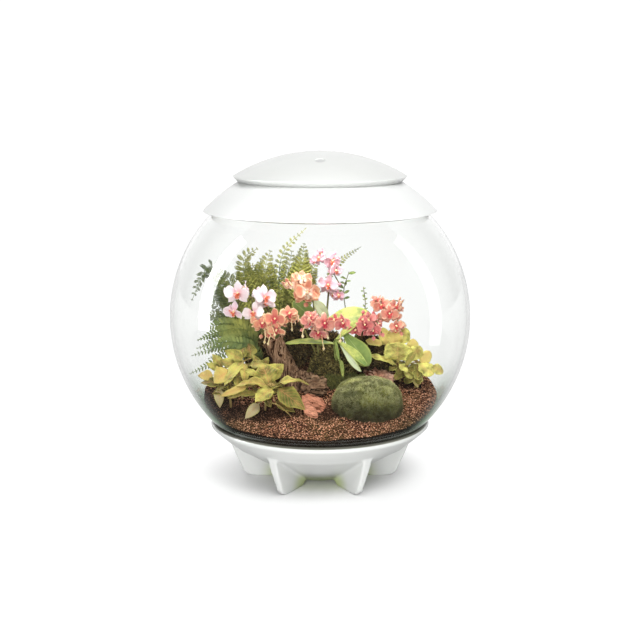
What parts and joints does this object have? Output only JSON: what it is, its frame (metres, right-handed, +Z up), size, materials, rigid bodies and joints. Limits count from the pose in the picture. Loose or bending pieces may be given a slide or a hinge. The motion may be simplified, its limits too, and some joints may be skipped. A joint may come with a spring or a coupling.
{
  "type": "glass globe terrarium with orchids",
  "caption": "Glass globe terrarium with a white lid, collar and finned stand, planted with orchids, ferns, foliage and moss on soil.",
  "frame": {"origin": "on the ground under the middle of the globe", "axes": "+Z up; -Y is the front that the planting faces; +X is to the right seen from the front"},
  "size_m": [0.3998, 0.3998, 0.442],
  "materials": {
    "white_plastic": "glossy white moulding",
    "button_plastic": "satin light grey",
    "clear_glass": "clear and polished, faint green at the edges",
    "soil": "loose reddish brown fibre and crumbs",
    "moss": "dense short moss, bright on top",
    "dark_moss": "dark damp moss",
    "driftwood": "weathered grey-brown grain",
    "red_bark": "flaky reddish bark",
    "brown_bark": "rough brown bark",
    "pink_bark": "crumbly pinkish bark",
    "fern_leaf": "matt green",
    "left_leaf": "yellow-green with orange veins",
    "right_leaf": "yellow-olive",
    "orchid_leaf": "waxy green",
    "sprig_leaf": "matt green",
    "petal_pink_white": "soft pink-white with a salmon lip",
    "petal_salmon": "salmon with cream edges",
    "petal_rose": "pink-red",
    "petal_red": "red-pink",
    "petal_far_salmon": "salmon pink",
    "petal_top_pink": "pink with a pale middle",
    "petal_centre_salmon": "salmon with a white middle"
  },
  "bodies": {
    "root": {"stand": "white_plastic", "globe": "clear_glass", "collar": "white_plastic", "lid": "white_plastic", "lid_button": "button_plastic", "soil": "soil", "moss_ball": "moss", "moss_mound": "dark_moss", "driftwood": "driftwood", "bark_front": "red_bark", "bark_brown": "brown_bark", "bark_back": "pink_bark", "fern_frond_1": "fern_leaf", "fern_frond_2": "fern_leaf", "fern_frond_3": "fern_leaf", "fern_frond_4": "fern_leaf", "fern_frond_5": "fern_leaf", "fern_frond_6": "fern_leaf", "fern_frond_7": "fern_leaf", "fern_frond_8": "fern_leaf", "fern_frond_9": "fern_leaf", "fern_frond_10": "fern_leaf", "fern_frond_11": "fern_leaf", "left_foliage_1": "left_leaf", "left_foliage_2": "left_leaf", "left_foliage_3": "left_leaf", "right_foliage_1": "right_leaf", "right_foliage_2": "right_leaf", "right_foliage_3": "right_leaf", "orchid_leaves_1": "orchid_leaf", "orchid_leaves_2": "orchid_leaf", "sprig_1": "sprig_leaf", "sprig_2": "sprig_leaf", "orchid_pink_white": "petal_pink_white", "orchid_salmon": "petal_salmon", "orchid_rose": "petal_rose", "orchid_red": "petal_red", "orchid_far_salmon": "petal_far_salmon", "orchid_top_pink": "petal_top_pink", "orchid_centre_salmon": "petal_centre_salmon", "stand_fin_1": "white_plastic", "stand_fin_2": "white_plastic", "stand_fin_3": "white_plastic", "stand_fin_4": "white_plastic", "stand_fin_5": "white_plastic", "stand_fin_6": "white_plastic"}
  },
  "joints": []
}
